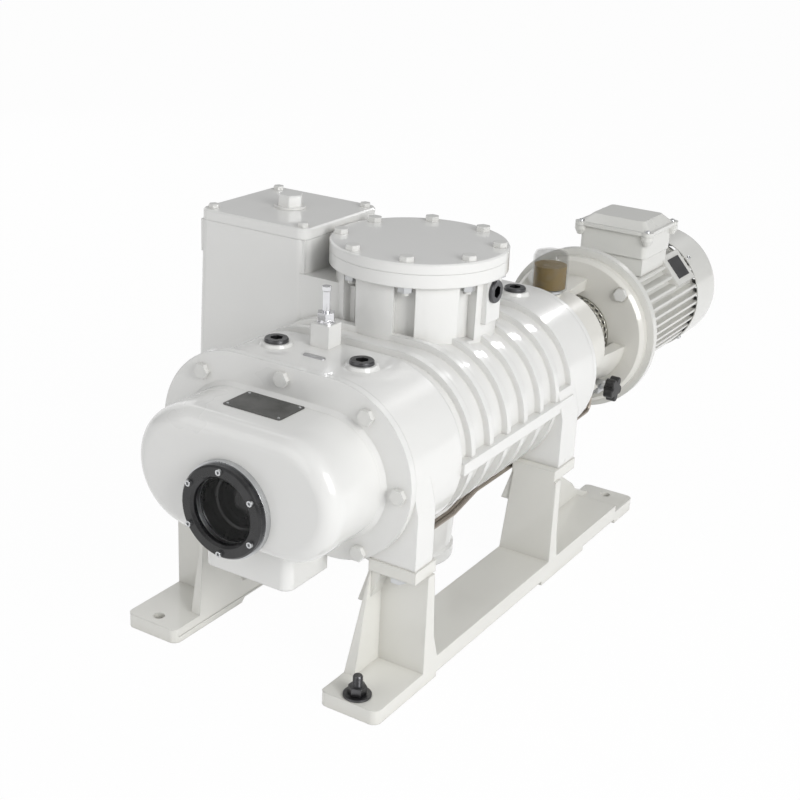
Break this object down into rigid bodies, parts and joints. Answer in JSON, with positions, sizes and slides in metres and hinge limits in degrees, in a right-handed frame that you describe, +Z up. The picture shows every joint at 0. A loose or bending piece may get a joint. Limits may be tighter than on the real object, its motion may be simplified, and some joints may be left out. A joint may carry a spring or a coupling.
{
  "type": "two-lobe booster vacuum pump",
  "caption": "Off-white two-lobe booster vacuum pump with ribbed casing, gear cover with oil sight glass, bypass valve box, blanked inlet, coupling lantern and flange motor on two cast supports",
  "frame": {"origin": "centre of the four foot holes, on the floor plane under the supports", "axes": "+X across the pump towards the drive shaft's side, +Y along the shafts from the gear cover to the motor, +Z up through the inlet; metres"},
  "size_m": [0.477, 1.0935, 0.475],
  "materials": {
    "paint_white": "gloss off-white paint on cast iron",
    "paint_support": "gloss off-white paint, faintly warm",
    "paint_lantern": "gloss off-white paint, faintly warm",
    "paint_motor": "gloss pale paint on aluminium and sheet steel",
    "paint_bolt": "painted over steel",
    "cast_iron_bare": "machined grey iron",
    "steel_bright": "zinc plated",
    "steel_machined": "machined steel",
    "spring_steel": "drawn wire",
    "gear_steel": "ground steel",
    "bearing_steel": "ground and polished",
    "rotor_iron": "machined ductile iron",
    "stator_steel": "stacked sheet",
    "rotor_core": "turned core on a ground shaft",
    "black_enamel": "satin black",
    "black_oxide": "black oxide",
    "plate_dark": "dark grey bare plate",
    "chrome": "polished",
    "sight_glass": "clear glass over a dark bore",
    "cup_glass": "clear",
    "amber_oil": "amber oil",
    "seal_rubber": "matte",
    "spider_rubber": "matte red",
    "guard_steel": "perforated sheet",
    "black_plastic": "moulded",
    "tube_steel": "brownish drawn tube"
  },
  "bodies": {
    "frame": {"left_support": "paint_support", "right_support": "paint_support", "casing": "paint_white", "gear_cover": "paint_white", "front_bearing_plate": "cast_iron_bare", "rear_bearing_plate": "paint_white", "cover_bolts": "paint_bolt", "rear_screws": "steel_bright", "foot_bolts": "steel_bright", "sight_glass_rim": "steel_bright", "sight_glass_ring": "black_enamel", "sight_glass": "sight_glass", "sight_glass_screws": "steel_bright", "cover_plate": "plate_dark", "motor_plate": "plate_dark", "screw_plugs": "black_oxide", "vent_nipple": "chrome", "inlet_blank": "paint_white", "inlet_bolts": "paint_bolt", "inlet_nuts": "steel_bright", "valve_lid": "paint_white", "valve_lid_bolts": "paint_bolt", "valve_guide_plug": "paint_white", "valve_spring": "spring_steel", "bearing_outer_rings": "bearing_steel", "shaft_seals": "seal_rubber", "bearing_cap": "paint_white", "lantern": "paint_lantern", "coupling_guard": "guard_steel", "oil_cup_base": "steel_bright", "oil_cup_glass": "cup_glass", "oil_cup_oil": "amber_oil", "drain_valve": "steel_bright", "oil_tubes": "tube_steel", "motor_drive_shield": "paint_motor", "motor_flange_bolts": "paint_bolt", "motor_frame": "paint_motor", "motor_stator": "stator_steel", "motor_bearings": "bearing_steel", "motor_rear_shield": "paint_motor", "fan_cowl": "paint_motor", "terminal_box": "paint_motor", "terminal_box_lid": "paint_motor"},
    "drive_rotor": {"drive_rotor": "rotor_iron", "drive_gear": "gear_steel", "drive_gear_nut": "steel_machined", "drive_bearing_inner_rings": "bearing_steel", "pump_coupling_half": "cast_iron_bare"},
    "driven_rotor": {"driven_rotor": "rotor_iron", "driven_gear": "gear_steel", "driven_gear_nut": "steel_machined", "driven_bearing_inner_rings": "bearing_steel", "oil_slinger": "steel_machined"},
    "motor_rotor": {"motor_rotor": "rotor_core", "motor_fan": "black_plastic", "motor_coupling_half": "cast_iron_bare", "coupling_spider": "spider_rubber"},
    "bypass_valve": {"bypass_disc": "steel_machined"},
    "drain_knob": {"star_knob": "black_plastic"}
  },
  "joints": [
    {"name": "drive_rotor_turn", "type": "hinge", "parent": "frame", "child": "drive_rotor", "pos_m": [0.058, 0, 0.25], "axis": [0, 1, 0], "continuous": true},
    {"name": "driven_rotor_turn", "type": "hinge", "parent": "frame", "child": "driven_rotor", "pos_m": [-0.058, 0, 0.25], "axis": [0, 1, 0], "continuous": true},
    {"name": "motor_rotor_turn", "type": "hinge", "parent": "frame", "child": "motor_rotor", "pos_m": [0.058, 0.5, 0.25], "axis": [0, 1, 0], "continuous": true},
    {"name": "bypass_lift", "type": "slide", "parent": "frame", "child": "bypass_valve", "axis": [0, 0, 1], "range_m": [0, 0.025], "stiffness_N_per_m": 1500, "springref_m": -0.02, "deforming": ["valve_spring"]},
    {"name": "drain_knob_turn", "type": "hinge", "parent": "frame", "child": "drain_knob", "pos_m": [0.141, 0.312, 0.193], "axis": [1, 0, 0], "range_deg": [0, 270]}
  ],
  "couplings": [
    {"joint": "driven_rotor_turn", "follows": "drive_rotor_turn", "ratio": -1},
    {"joint": "motor_rotor_turn", "follows": "drive_rotor_turn", "ratio": 1}
  ]
}
